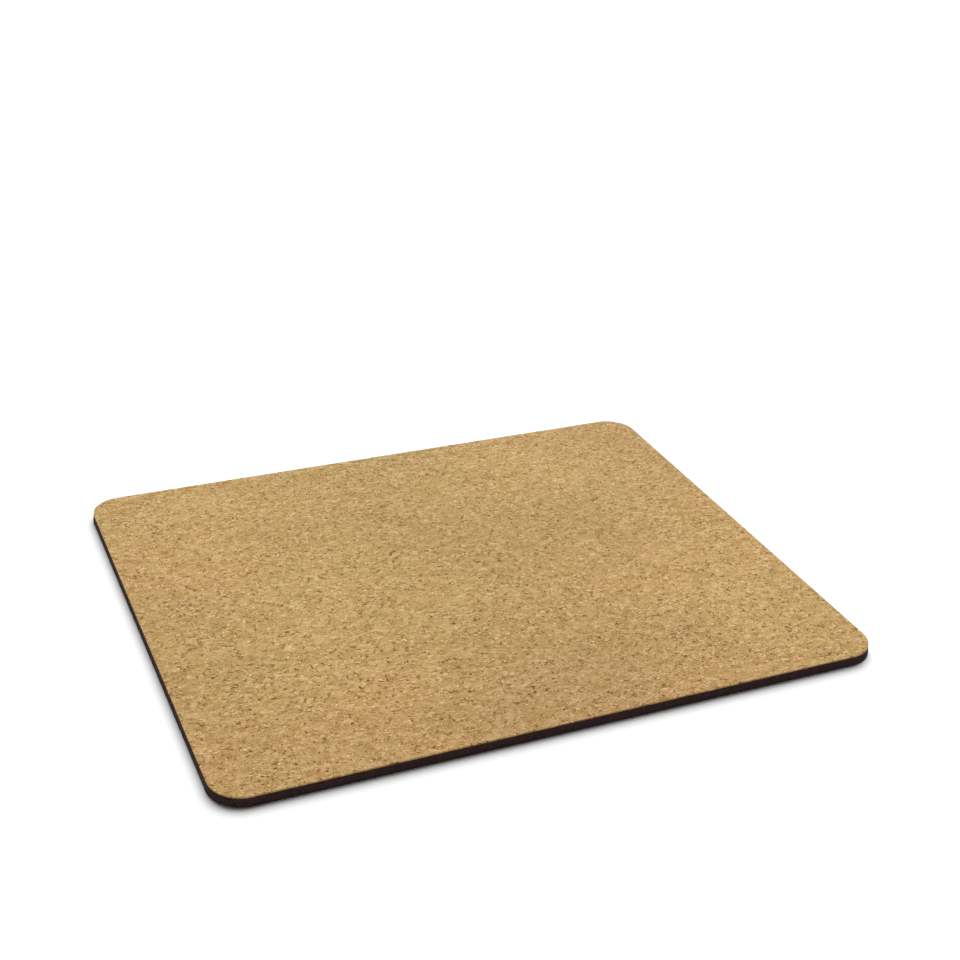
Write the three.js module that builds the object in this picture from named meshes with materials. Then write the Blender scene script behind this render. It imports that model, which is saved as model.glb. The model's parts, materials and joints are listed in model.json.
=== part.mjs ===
// A cork-faced mouse pad: three flat layers bonded together and die-cut as one sheet.
// Its front left corner bends up. Six bend lines cross that corner, and the strips
// between them stand for the bend of the continuous sheet.
// Units are millimetres. X runs along the long side, Y along the short side, Z is up.
// The origin is at the middle of the underside.

import * as THREE from 'three';

// The die-cut outline
const matLength = 240;
const matWidth = 200;
const cornerRadius = 12;
const cornerSteps = 12;

// The layers, counted up from the desk
const rubberThickness = 3.2;
const glueThickness = 0.1;
const corkThickness = 0.5;

// The glue film stops short of the cut edge, so that none squeezes out
const glueSetback = 0.8;

// The bend lines of the lifting corner. Places on it are distances from the sharp corner,
// where the two straight edges would meet, measured inward along the diagonal.
const bendStart = 70;
const bendPitch = 4;
const bendLineCount = 6;
const stripGap = 0.3;

// Turn at each bend line, in radians: 0 lies flat, and about 0.27 lifts the tip upright
const bendTurn = 0;

// Heights of the faces where the layers meet
const rubberTop = rubberThickness;
const glueTop = rubberTop + glueThickness;
const corkTop = glueTop + corkThickness;

// The sharp corner that the distances start from, the way inward, and the bend axis,
// about which a positive turn lifts the tip
const sharpCorner = new THREE.Vector2(-matLength / 2, -matWidth / 2);
const inward = new THREE.Vector2(1, 1).normalize();
const bendAxis = new THREE.Vector3(-inward.y, inward.x, 0);

// Matt black rubber, faintly warm
function makeRubberMaterial() {
  return new THREE.MeshStandardMaterial({
    color: 0x242224,
    roughness: 0.85,
    metalness: 0,
  });
}

// Dried contact glue, pale amber
function makeGlueMaterial() {
  return new THREE.MeshStandardMaterial({
    color: 0xd9c48a,
    roughness: 0.45,
    metalness: 0,
  });
}

// Pressed cork granules, sanded
function makeCorkMaterial() {
  return new THREE.MeshStandardMaterial({
    color: 0xc2a06e,
    roughness: 0.8,
    metalness: 0,
  });
}

const layers = [
  { name: 'rubber', sheet: 'base', bottom: 0, top: rubberTop, setback: 0, material: makeRubberMaterial() },
  { name: 'glue', sheet: 'film', bottom: rubberTop, top: glueTop, setback: glueSetback, material: makeGlueMaterial() },
  { name: 'cork', sheet: 'sheet', bottom: glueTop, top: corkTop, setback: 0, material: makeCorkMaterial() },
];

// The outline of a layer: a rectangle with a round at each corner, drawn anticlockwise
// and set back from the cut edge
function layerOutline(setback) {
  const radius = cornerRadius - setback;
  const across = matLength / 2 - cornerRadius;
  const along = matWidth / 2 - cornerRadius;
  const quarter = Math.PI / 2;
  const outline = new THREE.Shape();
  outline.absarc(across, along, radius, 0, quarter);
  outline.absarc(-across, along, radius, quarter, 2 * quarter);
  outline.absarc(-across, -along, radius, 2 * quarter, 3 * quarter);
  outline.absarc(across, -along, radius, 3 * quarter, 4 * quarter);
  return outline.getPoints(cornerSteps);
}

// How far a point lies from the sharp corner, inward along the diagonal
function distanceInward(point) {
  return point.clone().sub(sharpCorner).dot(inward);
}

// Trims an outline that has no hollows to the side where the measure is not negative
function trimOutline(points, measure) {
  const kept = [];
  points.forEach((point, i) => {
    const next = points[(i + 1) % points.length];
    const here = measure(point);
    const there = measure(next);
    if (here >= 0) kept.push(point);
    if (here * there < 0) kept.push(point.clone().lerp(next, here / (here - there)));
  });
  return kept;
}

// The solid of a layer between two distances from the sharp corner. A slab of unit depth
// gets the heights themselves, so that layers which touch share one height exactly.
function layerSolid(layer, nearest, farthest) {
  const cutNear = (point) => distanceInward(point) - nearest;
  const cutFar = (point) => farthest - distanceInward(point);
  const outline = trimOutline(trimOutline(layerOutline(layer.setback), cutNear), cutFar);
  const solid = new THREE.ExtrudeGeometry(new THREE.Shape(outline), { depth: 1, bevelEnabled: false });
  const position = solid.getAttribute('position');
  for (let i = 0; i < position.count; i += 1) {
    position.setZ(i, position.getZ(i) > 0 ? layer.top : layer.bottom);
  }
  solid.computeVertexNormals();
  return solid;
}

// The distance of a bend line, counted from the first one
function bendDistance(line) {
  return bendStart - line * bendPitch;
}

// The middle of a bend line, on the cork's face: the sheet bends about its stiff cork,
// so the cork keeps its length and the rubber under it stretches
function bendPoint(line) {
  const point = inward.clone().multiplyScalar(bendDistance(line)).add(sharpCorner);
  return new THREE.Vector3(point.x, point.y, corkTop);
}

// The three layers of one stretch of the mat, as meshes of a group
function addLayers(group, nearest, farthest, nameOf) {
  layers.forEach((layer) => {
    const mesh = new THREE.Mesh(layerSolid(layer, nearest, farthest), layer.material);
    mesh.name = nameOf(layer);
    mesh.position.copy(group.userData.pivot).negate();
    group.add(mesh);
  });
}

// A group that turns about a bend line, hung on the group before it
function addBend(parent, line) {
  const bend = new THREE.Group();
  bend.userData.pivot = bendPoint(line);
  bend.position.subVectors(bend.userData.pivot, parent.userData.pivot);
  bend.setRotationFromAxisAngle(bendAxis, bendTurn);
  parent.add(bend);
  return bend;
}

// The flat part of the mat, everything inward of the first bend line
function makeMat() {
  const mat = new THREE.Group();
  mat.userData.pivot = new THREE.Vector3();
  const farthest = distanceInward(new THREE.Vector2(matLength / 2, matWidth / 2));
  addLayers(mat, bendStart + stripGap / 2, farthest, (layer) => `${layer.name}_${layer.sheet}`);
  return mat;
}

// The strips between the bend lines, each hung on the one before, and the tip at the end
function addCorner(mat) {
  let link = mat;
  for (let line = 0; line < bendLineCount; line += 1) {
    const isTip = line === bendLineCount - 1;
    const nearest = isTip ? 0 : bendDistance(line + 1) + stripGap / 2;
    const farthest = bendDistance(line) - stripGap / 2;
    link = addBend(link, line);
    addLayers(link, nearest, farthest, (layer) => (isTip ? `${layer.name}_tip` : `${layer.name}_strip_${line + 1}`));
  }
}

const mousePad = makeMat();
addCorner(mousePad);

export default mousePad;
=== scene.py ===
# %% [markdown]
# # A cork-faced mouse pad
#
# The real mat is a laminate of three sheets: a cork face, a thin film of glue and a black rubber base
# with zigzag rows pressed into its underside. A die cuts all three in one stroke, so the edge is clean.
# One corner can be lifted, and the sheet then bends in an even curve.
#
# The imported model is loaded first. It gives the sizes, the bodies that move and the lines that they
# turn about, and everything below is built around it.

# %% Load the frame
import json
import math
from functools import partial

import bmesh
import bpy
import numpy as np
from mathutils import Matrix, Vector


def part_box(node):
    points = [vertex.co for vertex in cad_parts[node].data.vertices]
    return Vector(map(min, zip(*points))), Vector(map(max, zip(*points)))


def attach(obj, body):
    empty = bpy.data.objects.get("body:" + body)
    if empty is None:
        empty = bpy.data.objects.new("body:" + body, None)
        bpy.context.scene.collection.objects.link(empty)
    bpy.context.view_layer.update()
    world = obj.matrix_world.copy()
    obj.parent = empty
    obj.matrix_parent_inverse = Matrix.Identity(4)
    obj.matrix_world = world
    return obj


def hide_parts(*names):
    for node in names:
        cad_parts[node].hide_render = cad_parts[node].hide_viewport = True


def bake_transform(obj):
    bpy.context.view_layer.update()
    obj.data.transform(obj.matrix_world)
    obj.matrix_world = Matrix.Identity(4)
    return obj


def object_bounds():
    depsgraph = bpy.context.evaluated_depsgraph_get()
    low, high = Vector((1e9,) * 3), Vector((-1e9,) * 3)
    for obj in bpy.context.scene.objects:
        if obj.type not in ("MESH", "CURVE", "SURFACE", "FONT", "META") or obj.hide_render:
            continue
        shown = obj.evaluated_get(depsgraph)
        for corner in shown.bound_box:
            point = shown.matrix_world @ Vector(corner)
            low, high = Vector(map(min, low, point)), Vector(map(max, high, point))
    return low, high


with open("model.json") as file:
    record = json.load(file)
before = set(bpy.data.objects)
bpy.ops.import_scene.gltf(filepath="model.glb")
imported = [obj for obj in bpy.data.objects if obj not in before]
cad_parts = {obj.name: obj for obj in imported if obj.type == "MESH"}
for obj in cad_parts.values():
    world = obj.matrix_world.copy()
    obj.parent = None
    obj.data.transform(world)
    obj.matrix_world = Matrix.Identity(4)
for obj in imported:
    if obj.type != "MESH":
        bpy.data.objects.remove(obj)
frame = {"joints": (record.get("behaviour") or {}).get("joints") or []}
cad_box = [list(corner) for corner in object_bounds()]
MM = 0.001
print("CAD box in mm:", [[round(value / MM, 2) for value in corner] for corner in cad_box])

# %% [markdown]
# ## The camera
#
# The camera stands where the photographer stood. Its place was worked out from the four corners of the
# mat: it looks from the front and a little from the left, almost 28 degrees down, through a lens a bit
# longer than a normal one. Blender's camera looks along its own -Z, so its axes are built as three
# vectors and put in a matrix: right, up and backwards.

# %% The camera
CAMERA_AZIMUTH = math.radians(-23.97)
CAMERA_ELEVATION = math.radians(27.75)
CAMERA_ROLL = math.radians(2.19)
CAMERA_DISTANCE = 669.2 * MM
CAMERA_TARGET = Vector((38.72 * MM, 71.93 * MM, 0))
CAMERA_LENS = 59.41
CAMERA_SENSOR = 36.0

backwards = Vector((
    math.sin(CAMERA_AZIMUTH) * math.cos(CAMERA_ELEVATION),
    -math.cos(CAMERA_AZIMUTH) * math.cos(CAMERA_ELEVATION),
    math.sin(CAMERA_ELEVATION),
))
level_right = Vector((0, 0, 1)).cross(backwards).normalized()
level_up = backwards.cross(level_right)
right = level_right * math.cos(CAMERA_ROLL) + level_up * math.sin(CAMERA_ROLL)
up = level_up * math.cos(CAMERA_ROLL) - level_right * math.sin(CAMERA_ROLL)
axes = Matrix((right, up, backwards)).transposed().to_4x4()

camera = bpy.data.objects.new("camera", bpy.data.cameras.new("camera"))
camera.data.lens = CAMERA_LENS
camera.data.sensor_width = CAMERA_SENSOR
camera.matrix_world = Matrix.Translation(CAMERA_TARGET + backwards * CAMERA_DISTANCE) @ axes
bpy.context.scene.collection.objects.link(camera)
bpy.context.scene.camera = camera
print("camera at", [round(value, 3) for value in camera.location])

# %% [markdown]
# ## Places on the mat
#
# The corner bends about lines that cross it at 45 degrees, so a place on the mat is best given by two
# numbers: its distance from the sharp corner, measured inward along the diagonal, and its offset to the
# side, measured along the bend lines. A sheet built in rows of one distance then bends without a kink,
# because every row turns as a whole.

# %% Sizes and directions
LENGTH = cad_box[1][0] - cad_box[0][0]
WIDTH = cad_box[1][1] - cad_box[0][1]
CORNER_RADIUS = 12 * MM
CORNER = np.array(cad_box[0][:2])
ARC_REACH = np.array([LENGTH, WIDTH]) / 2 - CORNER_RADIUS

joints = frame["joints"]
SIDEWAYS = np.array(joints[0]["axis"][:2]) / np.linalg.norm(joints[0]["axis"][:2])
INWARD = np.array([SIDEWAYS[1], -SIDEWAYS[0]])
FARTHEST = float(np.dot([LENGTH, WIDTH], INWARD))
bend_distances = [float(np.dot(np.array(joint["pos_m"][:2]) - CORNER, INWARD)) for joint in joints]
BEND_PITCH = bend_distances[0] - bend_distances[1]
print("bend lines at", [round(distance / MM, 2) for distance in bend_distances], "mm")


def to_plane(distance, offset):
    """The point of the plane at a distance and an offset: the corner plus distance times the inward
    direction plus offset times the sideways direction."""
    return CORNER + distance[..., None] * INWARD + offset[..., None] * SIDEWAYS


# %% [markdown]
# The outline is a rectangle with a round at each corner. It could be drawn as a curve and filled, but
# then the faces would pay no heed to the bend lines. Cut along the diagonal it gives two halves, and in
# each half the distance only grows, so the offset is a plain function of the distance. That function is
# worked out on fine arcs, and numpy's interpolation then answers for any row.

# %% The outline as a function of distance
ARC_STEPS = 90
# From the middle of the lifting corner's arc, the way out to the corner, in degrees
CORNER_WAY = 225


def outline_half(side, inset):
    """Distances and offsets of half the outline, from the lifting corner to the far one.

    Three arcs, of 45, 90 and 45 degrees, stand round their centres: a point is the centre plus the
    radius times the cosine and sine of its angle. The straight edges are the jumps between the arcs.
    side is 1 for the half that holds the left edge and -1 for the one that holds the front edge.
    """
    radius = CORNER_RADIUS - inset
    turns = [np.linspace(*span, ARC_STEPS) for span in ((0, 45), (45, 135), (135, 180))]
    signs = [(-1, -1), (-side, side), (1, 1)]
    points = []
    for turn, sign in zip(turns, signs):
        angle = np.radians(CORNER_WAY - side * turn)
        points.append(ARC_REACH * sign + radius * np.stack([np.cos(angle), np.sin(angle)], -1))
    from_corner = np.concatenate(points) - CORNER
    return from_corner @ INWARD, from_corner @ SIDEWAYS


def nearest_distance(inset):
    """Where an inset outline starts: the arc's centre lies a radius times the root of two inward, and
    the outline comes back from there by the radius less the inset."""
    return CORNER_RADIUS * math.sqrt(2) - (CORNER_RADIUS - inset)


print("outline starts", round(nearest_distance(0) / MM, 2), "mm inward of the sharp corner")

# %% [markdown]
# ## A sheet as a loft
#
# Each layer is a closed cross-section carried from row to row, as a loft. Rows lie close together where
# the outline turns or the sheet bends, and farther apart elsewhere.

# %% Rows
ROW_SPACING = 1.0 * MM
ROWS_PER_BEND = 16
CORNER_STEPS = 22
CLOSEST_ROWS = 0.03 * MM


def row_distances(start, end, setback):
    """The distances of the rows between start and end.

    Even steps, finer ones across the bends, and one row for each even turn of every arc. Rows that fall
    nearly together are thinned, and both ends are kept.
    """
    first, last = nearest_distance(setback), FARTHEST - nearest_distance(setback)
    bend_high = bend_distances[0] + BEND_PITCH / 2
    bend_low = bend_distances[-1] - BEND_PITCH / 2
    turn = np.radians(np.linspace(0, 45, CORNER_STEPS // 2 + 1))
    tip = CORNER_RADIUS * math.sqrt(2) - (CORNER_RADIUS - setback) * np.cos(turn)
    rows = [
        np.arange(first, last, ROW_SPACING),
        np.linspace(bend_low, bend_high, len(joints) * ROWS_PER_BEND + 1),
        np.array([first, last]),
        tip,
        FARTHEST - tip,
    ]
    for side in (1, -1):
        distances, _ = outline_half(side, setback)
        rows.append(distances[ARC_STEPS:2 * ARC_STEPS:ARC_STEPS // CORNER_STEPS])
    start, end = max(start, first), min(end, last)
    inner = np.unique(np.concatenate(rows))
    inner = inner[(inner > start + CLOSEST_ROWS) & (inner < end - CLOSEST_ROWS)]
    apart = np.concatenate([[True], np.diff(inner) > CLOSEST_ROWS])
    return np.concatenate([[start], inner[apart], [end]])


print("rows from corner to corner:", len(row_distances(0, FARTHEST, 0)))

# %% [markdown]
# The section runs up the cut edge on one side, over the top, down the other edge and back along the
# bottom. Its edges follow a small profile of insets and heights, so a rounded arris is part of the shape
# and needs no Bevel modifier.

# %% Sections
TOP_COLUMNS = 10


def edge_points(side, rows, profile, setback):
    """The edge of every row on one side, as an array of rows by profile points by x, y, z.

    profile lists (inset, height) pairs. An inset outline starts later at the rounded tips, so there the
    row slides inward by its inset, and the slide fades out over one corner radius.
    """
    first = nearest_distance(setback)
    near = np.clip(1 - (rows - first) / CORNER_RADIUS, 0, 1)
    far = np.clip(1 - (FARTHEST - first - rows) / CORNER_RADIUS, 0, 1)
    columns = []
    for inset, height in profile:
        distance = rows + inset * (near - far)
        offset = np.interp(distance, *outline_half(side, setback + inset))
        columns.append(np.concatenate([to_plane(distance, offset), np.full((len(rows), 1), height)], -1))
    return np.stack(columns, 1)


def between(left, right, shares):
    """Points that lie at the given shares of the way from the left to the right edge, row by row."""
    return left[:, None] + (right - left)[:, None] * shares[None, :, None]


def section_rows(rows, profile, setback):
    """Every row's closed section: left edge upwards, top to the right, right edge down, bottom back."""
    left = edge_points(1, rows, profile, setback)
    opposite = edge_points(-1, rows, profile, setback)
    shares = np.linspace(0, 1, TOP_COLUMNS + 2)[1:-1]
    top = between(left[:, -1], opposite[:, -1], shares)
    bottom = between(opposite[:, 0], left[:, 0], shares)
    return np.concatenate([left, top, opposite[:, ::-1], bottom], 1)


print("columns across the top of a section:", TOP_COLUMNS + 2)

# %% [markdown]
# The mesh is stitched from the grid of section points: each quad joins a point to the next one in its
# section and to the same two in the next row. The two ends are capped. At the rounded tips a section
# shrinks to an upright line, and merging doubles closes it there.
#
# Two helpers finish a piece. One stores where each point lies on the flat mat, because a pattern that
# reads this stays on the surface when the corner bends. The other merges doubles, turns all faces
# outwards and marks sharp edges by angle.

# %% Mesh helpers
MERGE_DISTANCE = 0.0005 * MM
SHARP_ANGLE = math.radians(38)
REST_PLACE = "rest_place"


def stitch(sections):
    """Quads between neighbouring rows of a grid of closed sections, and one cap at each end."""
    rows, count = sections.shape[:2]
    index = np.arange(rows * count).reshape(rows, count)
    following = np.roll(index, -1, axis=1)
    quads = np.stack([index[:-1], following[:-1], following[1:], index[1:]], -1).reshape(-1, 4)
    return quads.tolist() + [index[0, ::-1].tolist(), index[-1].tolist()]


def store_rest_place(mesh):
    """Copies every vertex's place into an attribute that stays as it is when the mesh is bent."""
    places = np.empty(len(mesh.vertices) * 3, np.float32)
    mesh.vertices.foreach_get("co", places)
    mesh.attributes.new(REST_PLACE, "FLOAT_VECTOR", "POINT").data.foreach_set("vector", places)


def place_piece(name, mesh, materials):
    """Stores the mesh's rest place, gives it its materials and links its object at the origin."""
    store_rest_place(mesh)
    for material in materials:
        mesh.materials.append(material)
    piece = bpy.data.objects.new(name, mesh)
    bpy.context.scene.collection.objects.link(piece)
    return piece


def make_piece(name, points, faces, materials):
    """Makes a closed, smooth-shaded object from points and faces."""
    mesh = bpy.data.meshes.new(name)
    mesh.from_pydata(points, [], faces)
    shape = bmesh.new()
    shape.from_mesh(mesh)
    bmesh.ops.remove_doubles(shape, verts=shape.verts, dist=MERGE_DISTANCE)
    bmesh.ops.recalc_face_normals(shape, faces=shape.faces)
    shape.to_mesh(mesh)
    shape.free()
    mesh.shade_smooth()
    mesh.set_sharp_from_angle(angle=SHARP_ANGLE)
    return place_piece(name, mesh, materials)


print("patterns will read the attribute", REST_PLACE)

# %% [markdown]
# ## Colours and nodes
#
# Colours are written as the hex values that a screen shows, and turned to the linear values that Blender
# calculates with. Every node is added by one small function, which sets its properties and fills or
# links its sockets. A node of a whole material then takes one line, and the lines read in the order in
# which the pattern is worked out.
#
# A noise is described by three numbers: the size of its patches in millimetres, its detail, which is how
# many finer layers are added, and its roughness, which is how strong they are. Its values lie near a
# half, nearly all within one span, so a second helper stretches that span to whatever is wanted.

# %% Colour and node helpers
NOISE_SPAN = (0.3, 0.7)
NOISE_MIDDLE = 0.5


def linear(hex_colour):
    """The sRGB curve backwards: a low value is divided by 12.92, and a higher one is shifted by 0.055,
    divided by 1.055 and raised to the power 2.4."""
    values = np.array([int(hex_colour[i:i + 2], 16) for i in (1, 3, 5)]) / 255
    values = np.where(values <= 0.04045, values / 12.92, ((values + 0.055) / 1.055) ** 2.4)
    return (*values.tolist(), 1.0)


def first_output(node):
    """The first output that the node's settings leave in use."""
    return next(output for output in node.outputs if output.enabled)


def add_node(tree, kind, inputs=None, stops=None, **settings):
    """Adds a node of a kind. settings are its properties, inputs its sockets by name or number, and stops
    the colours of its ramp. An input may be a value, a socket, or a node, whose first output is linked."""
    node = tree.nodes.new("ShaderNode" + kind)
    for name, value in settings.items():
        setattr(node, name, value)
    for socket, value in (inputs or {}).items():
        if isinstance(value, bpy.types.Node):
            value = first_output(value)
        if isinstance(value, bpy.types.NodeSocket):
            tree.links.new(value, node.inputs[socket])
        else:
            node.inputs[socket].default_value = value
    if stops:
        ramp = node.color_ramp
        while len(ramp.elements) < len(stops):
            ramp.elements.new(1.0)
        for element, (share, colour) in zip(ramp.elements, stops):
            element.position = share
            element.color = colour
    return node


def add_noise(node, place, look):
    """Adds a noise read at a place. look holds its patch size in millimetres, detail and roughness."""
    size, detail, roughness = look
    return node("TexNoise", {"Vector": place, "Scale": 1 / size, "Detail": detail, "Roughness": roughness})


def remap(node, value, span, ends=(0.0, 1.0), **settings):
    """Maps a value in proportion, so that the start of the span goes to the first end and the end of the
    span to the second one. Values beyond the span stop at the ends."""
    return node("MapRange", {0: value, 1: span[0], 2: span[1], 3: ends[0], 4: ends[1]}, **settings)


def start_material(name, roughness, specular):
    """Starts a material. It gives the material, a short name for adding nodes to it, and the place on
    the flat mat in millimetres, which its patterns read. The roughness is that of the whole surface, and
    the gloss in finish_material varies it from place to place."""
    material = bpy.data.materials.new(name)
    material.use_nodes = True
    shader = material.node_tree.nodes["Principled BSDF"]
    shader.inputs["Roughness"].default_value = roughness
    shader.inputs["Specular IOR Level"].default_value = specular
    node = partial(add_node, material.node_tree)
    attribute = node("Attribute", attribute_name=REST_PLACE)
    place = node("VectorMath", {0: attribute.outputs["Vector"], "Scale": 1 / MM}, operation="SCALE")
    return material, node, place


def finish_material(material, colour, gloss, relief):
    """Links the colour, the roughness and the relief to the shader."""
    shader = material.node_tree.nodes["Principled BSDF"]
    for socket, source in (("Base Color", colour), ("Roughness", gloss), ("Normal", relief)):
        material.node_tree.links.new(first_output(source), shader.inputs[socket])
    print(material.name, "has", len(material.node_tree.nodes), "nodes")


print("middle grey #808080 is", round(linear("#808080")[0], 3), "in linear light")

# %% [markdown]
# ## Agglomerated cork
#
# Cork bark is ground to granules one to three millimetres across, pressed with a binder into a block,
# sliced into sheets and sanded. The eye sees a patchwork of ochre crumbs, each with its own tone and
# faint streaks, fine dark pores, pale flecks, and here and there a dark speck of outer bark.
#
# Voronoi cells are the natural pattern for pressed granules, because both fill space with no gaps.
# Coordinates bent by noise take away their straight sides. One of a cell's random numbers gives its
# tone, and another turns its streaks, so every granule has a grain direction of its own. The sheet as a
# whole has a faint grain too, along its long side. So the coordinates are first squeezed across the mat
# more than along it, and whatever is drawn with them comes out a little longer than wide.

# %% The cork's crumbs and streaks
# The granules come out half as long again along the mat as across it.
SHEET_GRAIN = (0.90, 1.35, 1.0)
# Granules of about 2 mm hold crumbs of 0.6 mm. Their borders wander by up to about a millimetre.
GRANULE_MM = 2.0
CRUMB_MM = 0.6
WARP_NOISE = (1.1, 3.0, 0.65)
WARP_MM = 2.2
# The real growth lines are nearer 0.1 mm apart. Almost three times as coarse, they show at all.
STREAK_NOISE = (0.28, 2.0, 0.65)
STREAK_STRETCH = (0.3, 1.0, 1.0)
GRANULE_SHARE = 0.45
STREAK_SHARE = 0.45
# Sanded cork is matt: its cut cells scatter nearly all light, so it has hardly any shine.
CORK_ROUGHNESS = 0.85
CORK_SPECULAR = 0.2
CORK_TONES = [
    (0.10, linear("#785a0c")),
    (0.30, linear("#93743a")),
    (0.50, linear("#a38552")),
    (0.70, linear("#b19362")),
    (0.90, linear("#d2b789")),
]

cork, node, place = start_material("agglomerated_cork", CORK_ROUGHNESS, CORK_SPECULAR)
grained = node("VectorMath", {0: place, 1: SHEET_GRAIN}, operation="MULTIPLY")
wander = add_noise(node, grained, WARP_NOISE).outputs["Color"]
wander = node("VectorMath", {0: wander, 1: (NOISE_MIDDLE,) * 3}, operation="SUBTRACT")
warped = node("VectorMath", {0: wander, 1: (WARP_MM,) * 3, 2: grained}, operation="MULTIPLY_ADD")
granules = node("TexVoronoi", {"Vector": warped, "Scale": 1 / GRANULE_MM})
granule = node("SeparateColor", {0: granules.outputs["Color"]}).outputs
crumbs = node("TexVoronoi", {"Vector": warped, "Scale": 1 / CRUMB_MM})
crumb = node("SeparateColor", {0: crumbs.outputs["Color"]})
turn = node("Math", {0: granule[1], 1: math.tau}, operation="MULTIPLY")
turned = node("VectorRotate", {"Vector": grained, "Angle": turn}, rotation_type="Z_AXIS")
drawn_out = node("VectorMath", {0: turned, 1: STREAK_STRETCH}, operation="MULTIPLY")
streak = add_noise(node, drawn_out, STREAK_NOISE)
tone = node("Mix", {"Factor": GRANULE_SHARE, "A": crumb, "B": granule[0]})
tone = node("Mix", {"Factor": STREAK_SHARE, "A": tone, "B": remap(node, streak, NOISE_SPAN)})
colour = node("ValToRGB", {0: tone}, stops=CORK_TONES)
print("cork granules", GRANULE_MM, "mm, crumbs", CRUMB_MM, "mm")

# %% [markdown]
# The details on top are sparse and crisp. Pores and pinholes are the bark's own breathing channels, cut
# across by the slicing, and pale flecks are its soft cells. Each is a spot round the middle of a Voronoi
# cell, stretched along the granule's grain. A spot's size comes from its cell's random number, so most
# cells show none, and a slow noise draws the spots together in clusters. The seams between granules are
# the same stain, laid along the cells' borders and broken by noise.

# %% Pores, flecks and bark
CLUSTER_NOISE = (7.0, 2.0, 0.5)
CLUSTERING = 1.4
SEAM_BREAK_NOISE = (1.6, 2.0, 0.5)
SEAM_BREAK_SPAN = (0.25, 0.75)
SEAM_SIZE = 0.13
SEAM_FROM = 0.40
# Shares of a spot's size: where its reach starts, and the soft edge of its mask
REACH_START = -0.5
SOFT_EDGE = np.array([-0.3, 0.5])
PORE_COLOUR = "#663b00"
# For each kind of spot: cell size in mm, stretch, size and first chance, and the colour
SPOTS = {
    "fleck": (0.9, (0.38, 0.9, 1.1), 0.34, 0.25, "#cfb485"),
    "pinhole": (0.5, (0.5, 1.1, 0.9), 0.40, 0.20, PORE_COLOUR),
    "pore": (1.25, (0.4, 1.0, 1.0), 0.30, 0.30, PORE_COLOUR),
    "bark": (13.0, (1.0, 0.8, 1.0), 0.07, 0.50, "#54320c"),
}


def stain(colour, distance, chance, first_chance, size, hex_colour):
    """Colours the places whose distance is less than a reach. The reach grows from below nothing to size
    as the chance goes from the first chance to 1. It gives the mask and the stained colour."""
    reach = remap(node, chance, (first_chance, 1.0), (REACH_START * size, size))
    inside = node("Math", {0: reach, 1: distance}, operation="SUBTRACT")
    mask = remap(node, inside, SOFT_EDGE * size, interpolation_type="SMOOTHSTEP")
    return mask, node("Mix", {"Factor": mask, "A": colour, "B": linear(hex_colour)}, data_type="RGBA")


cluster = add_noise(node, place, CLUSTER_NOISE)
cluster = node("Math", {0: cluster, 1: CLUSTERING, 2: -CLUSTERING / 2}, operation="MULTIPLY_ADD")
borders = node("TexVoronoi", {"Vector": warped, "Scale": 1 / GRANULE_MM}, feature="DISTANCE_TO_EDGE")
breaks = remap(node, add_noise(node, place, SEAM_BREAK_NOISE), SEAM_BREAK_SPAN)
marks = {}
marks["seam"], colour = stain(colour, borders, breaks, SEAM_FROM, SEAM_SIZE, PORE_COLOUR)
for kind, (cell_mm, stretch, size, first_chance, hex_colour) in SPOTS.items():
    source = warped if kind == "bark" else turned
    drawn_out = node("VectorMath", {0: source, 1: stretch}, operation="MULTIPLY")
    spots = node("TexVoronoi", {"Vector": drawn_out, "Scale": 1 / cell_mm})
    chance = node("SeparateColor", {0: spots.outputs["Color"]})
    chance = node("Math", {0: chance, 1: cluster}, operation="ADD")
    marks[kind], colour = stain(colour, spots, chance, first_chance, size, hex_colour)
print("marks in the cork:", ", ".join(marks))

# %% [markdown]
# From a step back the sheet isn't one colour either. Slow clouds of noise make it a little redder here
# and yellower there, and a little lighter and darker, as the bark of several trees is mixed in one
# block. Last comes the relief: sanding leaves the streaks as fine ridges and the pores as pits.

# %% Clouds and relief
CLOUD_NOISE = (95.0, 4.0, 0.5)
# Where each cloud pattern is cut out of the endless noise. Here the darker patch falls at the near
# edge and the redder ones at both ends, as on the real mat.
SHADE_FROM = (-1486.0, 1002.0, 0.0)
HUE_FROM = (2167.0, -366.0, 0.0)
YELLOWER, REDDER = linear("#fbfffa"), linear("#fff8fc")
GRANULE_HUE = 0.28
HUE_SPREAD = 0.22
CLOUD_SHADES = (1.035, 1.245)
CORK_RELIEF = 0.12 * MM
# The cork's roughness where its tone is dark and where it is light
CORK_GLOSS = (0.90, 0.80)


def clouds(shift):
    """Slow noise, read at the place on the mat plus a shift."""
    shifted = node("VectorMath", {0: place, 1: shift}, operation="ADD")
    return add_noise(node, shifted, CLOUD_NOISE)


hue = node("SeparateColor", {0: clouds(HUE_FROM).outputs["Color"]}).outputs[1]
hue = node("Math", {0: granule[2], 1: GRANULE_HUE, 2: hue}, operation="MULTIPLY_ADD")
hue_middle = NOISE_MIDDLE + GRANULE_HUE / 2
hue_span = (hue_middle - HUE_SPREAD, hue_middle + HUE_SPREAD)
hue = remap(node, hue, hue_span, interpolation_type="SMOOTHSTEP")
hue = node("Mix", {"Factor": hue, "A": YELLOWER, "B": REDDER}, data_type="RGBA")
shade = remap(node, clouds(SHADE_FROM), NOISE_SPAN, CLOUD_SHADES)
colour = node("VectorMath", {0: colour, 1: hue}, operation="MULTIPLY")
colour = node("VectorMath", {0: colour, "Scale": shade}, operation="SCALE")
height = streak
for kind in ("seam", "pore"):
    height = node("Math", {0: height, 1: marks[kind]}, operation="SUBTRACT")
relief = node("Bump", {"Strength": 1.0, "Distance": CORK_RELIEF, "Height": height})
finish_material(cork, colour, remap(node, tone, NOISE_SPAN, CORK_GLOSS), relief)

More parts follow.
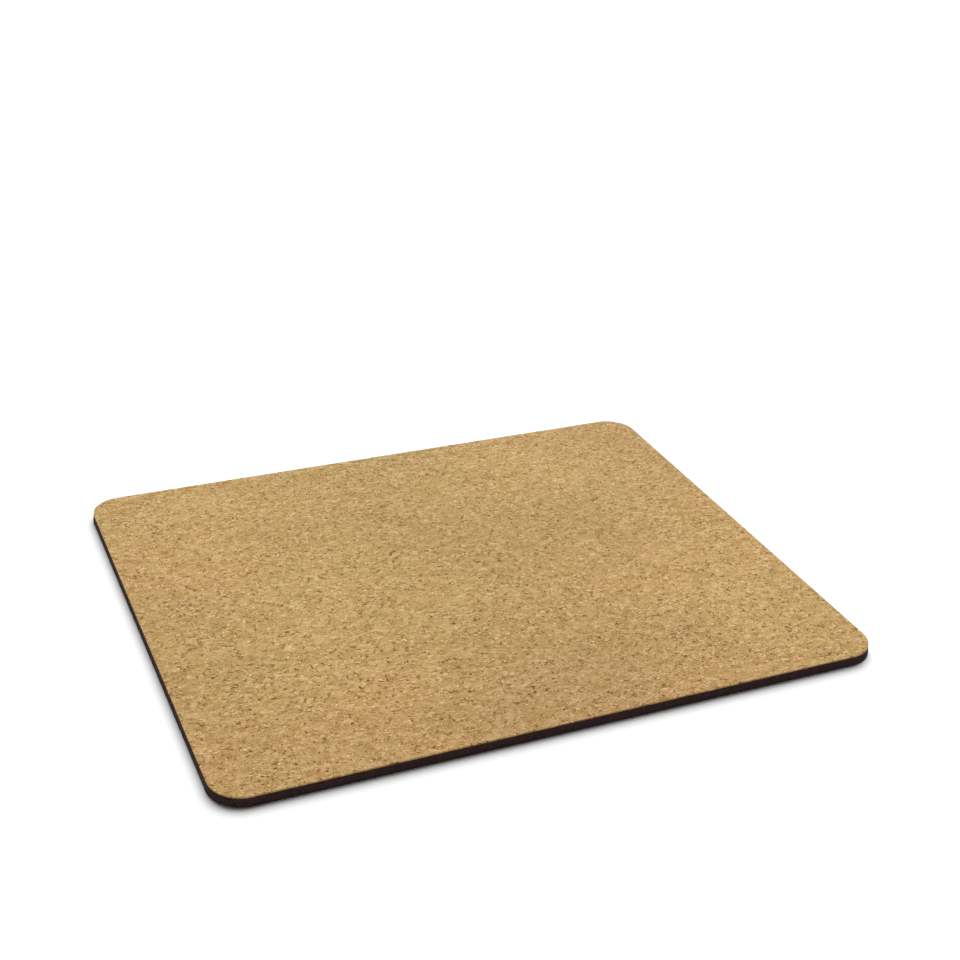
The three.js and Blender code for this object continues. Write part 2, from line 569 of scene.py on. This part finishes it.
# %% [markdown]
# ## Die-cut rubber
#
# The base is black natural rubber, blown into a fine closed-cell foam and vulcanised as a sheet. The die
# slices through its cells, so the edge is dead matt, a brownish black, and mottled: each opened cell is
# a tiny pit, painted a little darker inside as painted shade. Voronoi cells give the pits, and a soft
# noise under them gives the mottle.

# %% The die-cut rubber
# The real cells are a tenth of a millimetre wide. Over four times as coarse, they show at all.
CELL_MM = 0.45
CELL_DEPTH = 0.05 * MM
CELL_SHARE = 0.35
# A pit ends at this share of a cell from its middle, and the next share is painted shade, which darkens
# the tone in it.
PIT_REACH = 0.55
PIT_SHADE_SHARE = 0.12
MOTTLE_NOISE = (1.6, 4.0, 0.65)
# An open-celled cut has no skin to shine, so it is rougher than any moulded rubber.
CUT_ROUGHNESS = 0.88
CUT_SPECULAR = 0.1
CUT_GLOSS = (0.95, 0.80)
CUT_TONES = [(0.25, linear("#2a1b1a")), (0.55, linear("#342423")), (0.80, linear("#3f2f2d"))]

cut_rubber, node, place = start_material("die_cut_foam_rubber", CUT_ROUGHNESS, CUT_SPECULAR)
mottle = add_noise(node, place, MOTTLE_NOISE)
cells = node("TexVoronoi", {"Vector": place, "Scale": 1 / CELL_MM})
cell = node("SeparateColor", {0: cells.outputs["Color"]})
pit = remap(node, cells, (0.0, PIT_REACH), interpolation_type="SMOOTHSTEP")
tone = node("Mix", {"Factor": CELL_SHARE, "A": mottle, "B": cell})
# Painted shade: the tone is darker in each pit.
tone = node("Math", {0: pit, 1: PIT_SHADE_SHARE, 2: tone}, operation="MULTIPLY_ADD")
colour = node("ValToRGB", {0: tone}, stops=CUT_TONES)
relief = node("Bump", {"Strength": 1.0, "Distance": CELL_DEPTH, "Height": pit})
finish_material(cut_rubber, colour, remap(node, mottle, NOISE_SPAN, CUT_GLOSS), relief)

# %% [markdown]
# ## Moulded rubber
#
# The underside is the same rubber, but pressed against a mould while hot, so it has a closed skin. It is
# a neutral black, a little smoother than the cut edge, with a faint grey bloom of wax in soft patches.
# The valleys between the raised ribs are painted near black, as painted shade, while the ribs keep the
# paler grey of rubber rubbed on the desk, which also stands in for the light that they catch. The
# material reads the height on the flat mat for that, and it is what makes the zigzag show.

# %% The moulded rubber
TREAD_HEIGHT = 0.2 * MM
# Shares of that height: below the first a rib keeps its own grey, and above the second the valleys are
# painted black, as painted shade.
SHADE_START_SHARE, SHADE_FULL_SHARE = 0.25, 0.95
BLOOM_NOISE = (14.0, 6.0, 0.6)
GRAIN_NOISE = (0.35, 3.0, 0.6)
GRAIN_DEPTH = 0.02 * MM
GRAIN_SHARE = 0.3
# A moulded skin has a soft sheen, less than that of a hard plastic.
MOULDED_ROUGHNESS = 0.62
MOULDED_SPECULAR = 0.35
# Two noises mixed vary less than one does, so the gloss spreads over a narrower span of their values.
MOULDED_SPAN = (0.35, 0.65)
MOULDED_GLOSS = (0.55, 0.72)
RIB_TONES = [(0.30, linear("#29282c")), (0.55, linear("#343337")), (0.80, linear("#434246"))]
# Painted shade: the colour that darkens the valleys between the ribs
VALLEY_SHADE_COLOUR = "#0e0d0f"

moulded_rubber, node, place = start_material("moulded_rubber", MOULDED_ROUGHNESS, MOULDED_SPECULAR)
grain = add_noise(node, place, GRAIN_NOISE)
tone = node("Mix", {"Factor": GRAIN_SHARE, "A": add_noise(node, place, BLOOM_NOISE), "B": grain})
colour = node("ValToRGB", {0: tone}, stops=RIB_TONES)
# Painted shade: places that lie up between the ribs, towards the sheet, are painted nearer to black.
level = node("SeparateXYZ", {0: place}).outputs["Z"]
shade_start, shade_full = SHADE_START_SHARE * TREAD_HEIGHT / MM, SHADE_FULL_SHARE * TREAD_HEIGHT / MM
valley_shade = remap(node, level, (shade_start, shade_full), interpolation_type="SMOOTHSTEP")
colour = node("Mix", {"Factor": valley_shade, "A": colour, "B": linear(VALLEY_SHADE_COLOUR)}, data_type="RGBA")
relief = node("Bump", {"Strength": 1.0, "Distance": GRAIN_DEPTH, "Height": grain})
finish_material(moulded_rubber, colour, remap(node, tone, MOULDED_SPAN, MOULDED_GLOSS), relief)

# %% [markdown]
# ## Dried glue
#
# Contact adhesive is rolled on both faces and dries to a pale amber film. It stays a little back from
# the cut edge and hardly shows. The roller leaves fine ripples along its way, so a noise is stretched
# in one direction, and the film is glossier where it lies thick.

# %% The dried glue
RIPPLE_NOISE = (1.1, 3.0, 0.5)
RIPPLE_STRETCH = (0.15, 1.0, 1.0)
RIPPLE_DEPTH = 0.03 * MM
GLUE_ROUGHNESS = 0.4
GLUE_SPECULAR = 0.5
GLUE_GLOSS = (0.50, 0.32)
GLUE_TONES = [(0.30, linear("#c9ae6c")), (0.55, linear("#d9c48a")), (0.80, linear("#e4d4a3"))]

dried_glue, node, place = start_material("dried_contact_glue", GLUE_ROUGHNESS, GLUE_SPECULAR)
rolled = node("VectorMath", {0: place, 1: RIPPLE_STRETCH}, operation="MULTIPLY")
ripple = add_noise(node, rolled, RIPPLE_NOISE)
colour = node("ValToRGB", {0: ripple}, stops=GLUE_TONES)
relief = node("Bump", {"Strength": 1.0, "Distance": RIPPLE_DEPTH, "Height": ripple})
finish_material(dried_glue, colour, remap(node, ripple, NOISE_SPAN, GLUE_GLOSS), relief)

# %% [markdown]
# ## A layer in bend zones
#
# Each real layer is one sheet. Here it is cut into six pieces, one for each bend line, and each piece
# holds the zone round its line. The cuts lie halfway between the lines.

# %% The bend zones


def bend_zones():
    """For each bend line: its number, its joint, the distances where the bend starts and ends, and the
    nearest and farthest distance of its pieces. The first piece takes in the flat part of the mat, and
    the last one the tip."""
    for number, (joint, distance) in enumerate(zip(joints, bend_distances), 1):
        start, end = distance + BEND_PITCH / 2, distance - BEND_PITCH / 2
        nearest = 0 if number == len(joints) else end
        farthest = FARTHEST if number == 1 else start
        yield number, joint, (start, end), (nearest, farthest)


def bend(piece):
    """Bakes the piece's placement into its mesh. The piece itself stays flat."""
    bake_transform(piece)


for number, joint, span, _ in bend_zones():
    print(joint["name"], "bends from", [round(distance / MM, 1) for distance in span], "mm")

# %% [markdown]
# The edge of a layer isn't a plain right angle. The die leaves a cork edge that is rounded by a tenth of
# a millimetre, and it presses the rubber a little as it cuts, so the cut face slopes out towards the
# desk. Seen from above, that slope shows as the dark rim round the cork. The two points further in, the
# guards, keep the smooth shading of a rounded arris from spreading over the flat face.

# %% The profile of an edge
ARRIS_STEPS = 3
GUARD = 0.25 * MM


def rounded(inset, height, radius, upwards):
    """Profile points round an arris. The inset grows by the radius times one minus the cosine of the
    angle, and the level nears the face by the radius times the sine, so the edge turns to level."""
    angle = np.radians(np.linspace(0, 90, ARRIS_STEPS + 1))
    insets = inset + radius * (1 - np.cos(angle))
    levels = height - (1 - np.sin(angle)) * radius * (1 if upwards else -1)
    points = list(zip(insets.tolist(), levels.tolist()))
    return points if upwards else points[::-1]


def layer_profile(levels, arrises, insets):
    """A layer's edge from the bottom face to the top face: guard, arris, cut face, arris, guard. Each
    argument is a pair, for the bottom and for the top."""
    profile = [(insets[0] + arrises[0] + GUARD, levels[0])]
    profile += rounded(insets[0], levels[0], arrises[0], False)
    profile += rounded(insets[1], levels[1], arrises[1], True)
    return profile + [(insets[1] + arrises[1] + GUARD, levels[1])]


print("an edge's profile has", len(layer_profile((0, 1), (0, 0), (0, 0))), "points")

# %% [markdown]
# The pieces of all layers come from one function. It lofts the section along each zone's rows, bakes the
# piece's placement and hides the CAD nodes that it stands for. A rubber piece has two materials, and the
# faces that look down get the second one: the underside came from the mould, and only the edge was cut.

# %% Pieces of a layer
DOWNWARD = -0.7


def finish_below(piece):
    """Gives the piece's second material to the faces whose normal points down."""
    normals = np.empty(len(piece.data.polygons) * 3, np.float32)
    piece.data.polygons.foreach_get("normal", normals)
    below = normals.reshape(-1, 3)[:, 2] < DOWNWARD
    piece.data.polygons.foreach_set("material_index", below.astype(np.int32))


def replaced_nodes(layer, sheet, number):
    """The CAD nodes that a layer's piece stands for: one strip each, the first with the flat sheet and
    the last with the tip in place of a strip."""
    if number == len(joints):
        return [f"{layer}_tip"]
    strip = f"{layer}_strip_{number}"
    return [sheet, strip] if number == 1 else [strip]


def add_layer(layer, sheet, profile, setback, materials):
    """Builds one layer as a piece for each bend zone, named after the layer and the zone's number. The
    layer's name is also its material slot.
    """
    for number, joint, span, (nearest, farthest) in bend_zones():
        sections = section_rows(row_distances(nearest, farthest, setback), profile, setback)
        piece = make_piece(f"{layer}_{number}", sections.reshape(-1, 3), stitch(sections), materials)
        if len(materials) > 1:
            finish_below(piece)
        bend(piece)
        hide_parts(*replaced_nodes(layer, sheet, number))
        print(piece.name, len(piece.data.polygons), "faces")


# %% [markdown]
# The levels come from the CAD nodes, so the layers touch exactly. Two sizes are left free for the eye.
# The rubber's sheet starts above the desk by the height of its tread, and the cut slopes by about a
# third of a millimetre, which gives the rim its width in the picture.

# %% The layers
CUT_SLOPE = 0.35 * MM
CRISP_ARRIS = 0.02 * MM
CORK_ARRIS = 0.08 * MM
GLUE_SETBACK = 0.8 * MM


def levels_of(cad_node):
    """The lowest and highest level of a CAD node."""
    low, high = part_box(cad_node)
    return low.z, high.z


rubber_bottom, rubber_top = levels_of("rubber_base")
rubber_levels = (rubber_bottom + TREAD_HEIGHT, rubber_top)
rubber_profile = layer_profile(rubber_levels, (CRISP_ARRIS, CRISP_ARRIS), (0, CUT_SLOPE))
glue_profile = layer_profile(levels_of("glue_film"), (CRISP_ARRIS, CRISP_ARRIS), (0, 0))
cork_profile = layer_profile(levels_of("cork_sheet"), (CRISP_ARRIS, CORK_ARRIS), (CUT_SLOPE, CUT_SLOPE))
add_layer("rubber", "rubber_base", rubber_profile, 0, [cut_rubber, moulded_rubber])
add_layer("glue", "glue_film", glue_profile, GLUE_SETBACK, [dried_glue])
add_layer("cork", "cork_sheet", cork_profile, 0, [cork])

# %% [markdown]
# ## The tread
#
# The mould presses short ribs into the underside, which keep the mat from slipping. They stand in rows,
# lean one way in one row and the other way in the next, and their ends nearly meet, so the rows read as
# fine zigzags. There are about twenty thousand of them, and each is only a block with sloping sides:
# eight corners, six faces. An array modifier could repeat one, but it couldn't trim the ribs at the
# edge. So numpy works out all their corners at once: a grid of middles plus the corners of one rib.

# %% The ribs
RIB_PITCH = 1.38 * MM
RIB_ROW = 1.7 * MM
RIB_GAP = 0.08 * MM
RIB_LEAN = math.tan(math.radians(31))
RIB_FOOT = 0.80 * MM
RIB_FACE = 0.46 * MM
RIB_BURIED = 0.04 * MM
ROW_ANGLE = math.radians(-40)
CORNER_SIDES = np.array([-1, 1, 1, -1])
CORNER_ENDS = np.array([-1, -1, 1, 1])


def all_ribs():
    """Every rib's corners, as ribs by foot and face by four corners by x, y, z.

    A corner lies half a width to the side and half a height along its rib, and the lean moves it to the
    side by the height times the lean. The whole grid is then turned by the rows' angle.
    """
    reach = math.hypot(LENGTH, WIDTH) / 2
    rows = np.arange(-int(reach / RIB_ROW), int(reach / RIB_ROW) + 1)
    steps = np.arange(-int(reach / RIB_PITCH), int(reach / RIB_PITCH) + 1)
    lean = np.where(rows % 2 == 0, RIB_LEAN, -RIB_LEAN)
    half_width = np.array([RIB_FOOT, RIB_FACE]) / 2
    half_height = (RIB_ROW - RIB_GAP) / 2 - np.array([0, (RIB_FOOT - RIB_FACE) / 2])
    across = half_height[:, None] * CORNER_ENDS
    along = half_width[:, None] * CORNER_SIDES + lean[:, None, None, None] * across
    along = along + (steps * RIB_PITCH)[None, :, None, None]
    across = across + (rows * RIB_ROW)[:, None, None, None]
    along, across = np.broadcast_arrays(along, across)
    x = along * math.cos(ROW_ANGLE) - across * math.sin(ROW_ANGLE)
    y = along * math.sin(ROW_ANGLE) + across * math.cos(ROW_ANGLE)
    z = np.broadcast_to(np.array([TREAD_HEIGHT + RIB_BURIED, 0])[:, None], x.shape)
    return np.stack([x, y, z], -1).reshape(-1, 2, 4, 3)


print("ribs in the grid:", len(all_ribs()))

# %% [markdown]
# The grid is larger than the mat, so it is trimmed as the die trims it. A rib whose middle lies outside
# goes, and a rib that only reaches past the edge is cut off along it.

# %% Trimming at the cut edge
RIB_EDGE = 0.3 * MM


def outside(points):
    """Signed distance past the cut edge, and the way out to it. Past the middle of a corner's arc in
    both directions, it is the distance to that middle less the radius. Elsewhere it is the distance to
    the nearer straight edge."""
    beyond = np.abs(points) - ARC_REACH
    past = np.maximum(beyond, 0)
    length = np.linalg.norm(past, axis=-1)
    way = (beyond == beyond.max(-1, keepdims=True)).astype(float)
    np.divide(past, length[..., None], out=way, where=length[..., None] > 0)
    return length + np.minimum(beyond.max(-1), 0) - CORNER_RADIUS, way * np.sign(points)


def trim(ribs):
    """Drops the ribs whose middle lies outside or close to the cut edge, and moves the corners that
    reach past the edge back onto it."""
    middle, _ = outside(ribs[:, 1, :, :2].mean(1))
    ribs = ribs[middle < -RIB_EDGE].copy()
    past, way = outside(ribs[..., :2])
    ribs[..., :2] -= np.maximum(past, 0)[..., None] * way
    return ribs


ribs = trim(all_ribs())
rib_distances = (ribs[:, 1, :, :2].mean(1) - CORNER) @ INWARD
print("ribs on the mat:", len(ribs))

# %% [markdown]
# The ribs are put together in nine objects. Each bend zone has its own. The flat part of the mat doesn't
# bend, so its ribs simply ride on the mat, in three objects of a handy size.

# %% Making the tread
FLAT_MARGIN = 3 * BEND_PITCH
FLAT_FROM = bend_distances[0] + FLAT_MARGIN
FLAT_PARTS = 3
RIB_FACES = np.array([
    (0, 1, 2, 3),
    (7, 6, 5, 4),
    (0, 4, 5, 1),
    (1, 5, 6, 2),
    (2, 6, 7, 3),
    (3, 7, 4, 0),
])


def make_ribs(name, corners):
    """Makes one flat-shaded object of many ribs, each a closed block."""
    mesh = bpy.data.meshes.new(name)
    faces = np.arange(len(corners))[:, None, None] * 8 + RIB_FACES
    mesh.from_pydata(corners.reshape(-1, 3), [], faces.reshape(-1, 4))
    print(name, len(corners), "ribs")
    return place_piece(name, mesh, [moulded_rubber])


for number, joint, span, (nearest, farthest) in bend_zones():
    chosen = (rib_distances > nearest) & (rib_distances <= min(farthest, FLAT_FROM))
    bend(make_ribs(f"tread_{number}", ribs[chosen]))
flat_ribs = ribs[rib_distances > FLAT_FROM]
flat_ribs = flat_ribs[np.argsort(flat_ribs[:, 1, 0, 0])]
for part, corners in enumerate(np.array_split(flat_ribs, FLAT_PARTS), 1):
    piece = make_ribs(f"tread_flat_{part}", corners)
    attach(piece, "mat")

# %% [markdown]
# ## The stage
#
# The mat lies on white paper. It is so wide that its far edge is out of sight, and a little darker than
# pure white, so that the light can bring it just to white and still leave a shadow to see.

# %% The floor
FLOOR_REACH = 30.0
FLOOR_COLOUR = "#f4f4f4"
FLOOR_ROUGHNESS = 0.9
FLOOR_SPECULAR = 0.2

paper = bpy.data.materials.new("white_paper")
paper.use_nodes = True
paper_shader = paper.node_tree.nodes["Principled BSDF"].inputs
paper_shader["Base Color"].default_value = linear(FLOOR_COLOUR)
paper_shader["Roughness"].default_value = FLOOR_ROUGHNESS
paper_shader["Specular IOR Level"].default_value = FLOOR_SPECULAR

floor_corners = [(x * FLOOR_REACH, y * FLOOR_REACH, 0) for x, y in ((-1, -1), (1, -1), (1, 1), (-1, 1))]
floor_mesh = bpy.data.meshes.new("floor")
floor_mesh.from_pydata(floor_corners, [], [(0, 1, 2, 3)])
floor_mesh.materials.append(paper)
floor = bpy.data.objects.new("floor", floor_mesh)
bpy.context.scene.collection.objects.link(floor)
print("floor", 2 * FLOOR_REACH, "m wide")

# %% [markdown]
# A soft box stands behind the mat, to the right: the near and left edges lie in soft shadow and the far
# ones don't. A sun lamp whose disc spans 66 degrees gives the same wide penumbra as a big soft box.
# The world adds the rest of the room, nearly dark above and white only near the horizon. That low light
# fills the shaded edges a little, as the white walls of a light tent do.

# %% The light
SOFTBOX_FROM = Vector((0.47, 0.84, 0.97))
SOFTBOX_ANGLE = math.radians(66)
SOFTBOX_STRENGTH = 5.2
ROOM_STOPS = [(0.16, (1.0, 1.0, 1.0, 1.0)), (0.34, (0.06, 0.06, 0.06, 1.0))]

world = bpy.data.worlds.new("studio")
world.use_nodes = True
height = add_node(world.node_tree, "TexCoord")
height = add_node(world.node_tree, "SeparateXYZ", {0: height}).outputs["Z"]
room = add_node(world.node_tree, "ValToRGB", {0: height}, stops=ROOM_STOPS)
world.node_tree.links.new(room.outputs["Color"], world.node_tree.nodes["Background"].inputs["Color"])
bpy.context.scene.world = world

softbox = bpy.data.objects.new("softbox", bpy.data.lights.new("softbox", "SUN"))
softbox.data.energy = SOFTBOX_STRENGTH
softbox.data.angle = SOFTBOX_ANGLE
softbox.rotation_mode = "QUATERNION"
softbox.rotation_quaternion = SOFTBOX_FROM.to_track_quat("Z", "Y")
bpy.context.scene.collection.objects.link(softbox)
bpy.context.scene.view_settings.view_transform = "Standard"
print("softbox light from", [round(value, 2) for value in SOFTBOX_FROM.normalized()])
